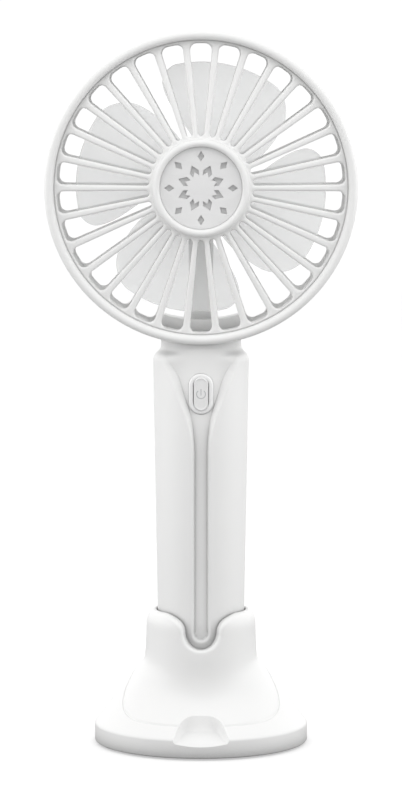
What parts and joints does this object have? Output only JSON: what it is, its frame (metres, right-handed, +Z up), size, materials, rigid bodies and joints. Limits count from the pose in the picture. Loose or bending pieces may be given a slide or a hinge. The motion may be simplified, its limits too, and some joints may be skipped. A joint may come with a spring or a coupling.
{
  "type": "hand-held mini fan with base",
  "caption": "Slim hand-held fan with a round spoked head and a grooved handle, standing in a flared base with a collar that it lifts out of.",
  "frame": {"origin": "centre of the underside of the base, on the surface it stands on", "axes": "+Z up along the handle, the fan faces -Y, +X to the right as seen from the front"},
  "size_m": [0.0996, 0.069, 0.2298],
  "materials": {
    "body_plastic": "satin white moulded ABS",
    "trim_plastic": "semi-gloss white",
    "medallion_plastic": "satin light grey",
    "backing_plastic": "matt light grey",
    "blade_plastic": "frosted translucent white",
    "dark_plastic": "moulded black",
    "foot_rubber": "soft light grey",
    "screw_steel": "plated steel",
    "sheet_steel": "plated sheet",
    "magnet": "sintered ferrite",
    "bush_bronze": "oiled bronze",
    "copper": "enamelled copper",
    "board": "solder mask",
    "cell_wrap": "shrink sleeve",
    "foam": "closed-cell foam",
    "lead_sleeve": "smooth sleeve"
  },
  "bodies": {
    "base": {"base_shell": "body_plastic", "base_plate": "body_plastic", "base_screws": "screw_steel", "foot_ring": "foot_rubber"},
    "fan": {"handle_front": "body_plastic", "handle_rear": "body_plastic", "bottom_cap": "body_plastic", "handle_screws": "screw_steel", "button_bezel": "trim_plastic", "tact_switch": "sheet_steel", "circuit_board": "board", "board_components": "dark_plastic", "usb_socket": "sheet_steel", "battery_cell": "cell_wrap", "battery_tabs": "sheet_steel", "battery_pad": "foam", "battery_leads": "lead_sleeve", "front_grille": "body_plastic", "medallion": "medallion_plastic", "medallion_backing": "backing_plastic", "rear_grille": "body_plastic", "motor_cover": "body_plastic", "motor_can": "sheet_steel", "motor_magnets": "magnet", "front_bush": "bush_bronze", "rear_bush": "bush_bronze", "motor_end_cap": "dark_plastic", "motor_brushes": "bush_bronze", "motor_terminals": "sheet_steel", "motor_screws": "screw_steel", "motor_leads": "lead_sleeve"},
    "rotor": {"fan_blade": "blade_plastic", "motor_shaft": "screw_steel", "motor_armature": "sheet_steel", "motor_windings": "copper", "commutator": "copper"},
    "button": {"button_cap": "trim_plastic", "switch_plunger": "dark_plastic"}
  },
  "joints": [
    {"name": "fan_lift", "type": "slide", "parent": "base", "child": "fan", "axis": [0, 0, 1], "range_m": [0, 0.045]},
    {"name": "blade_spin", "type": "hinge", "parent": "fan", "child": "rotor", "pos_m": [0, 0, 0.18], "axis": [0, -1, 0], "continuous": true},
    {"name": "power_press", "type": "slide", "parent": "fan", "child": "button", "axis": [0, 1, 0], "range_m": [0, 0.0006], "stiffness_N_per_m": 600, "springref_m": -0.0004}
  ]
}
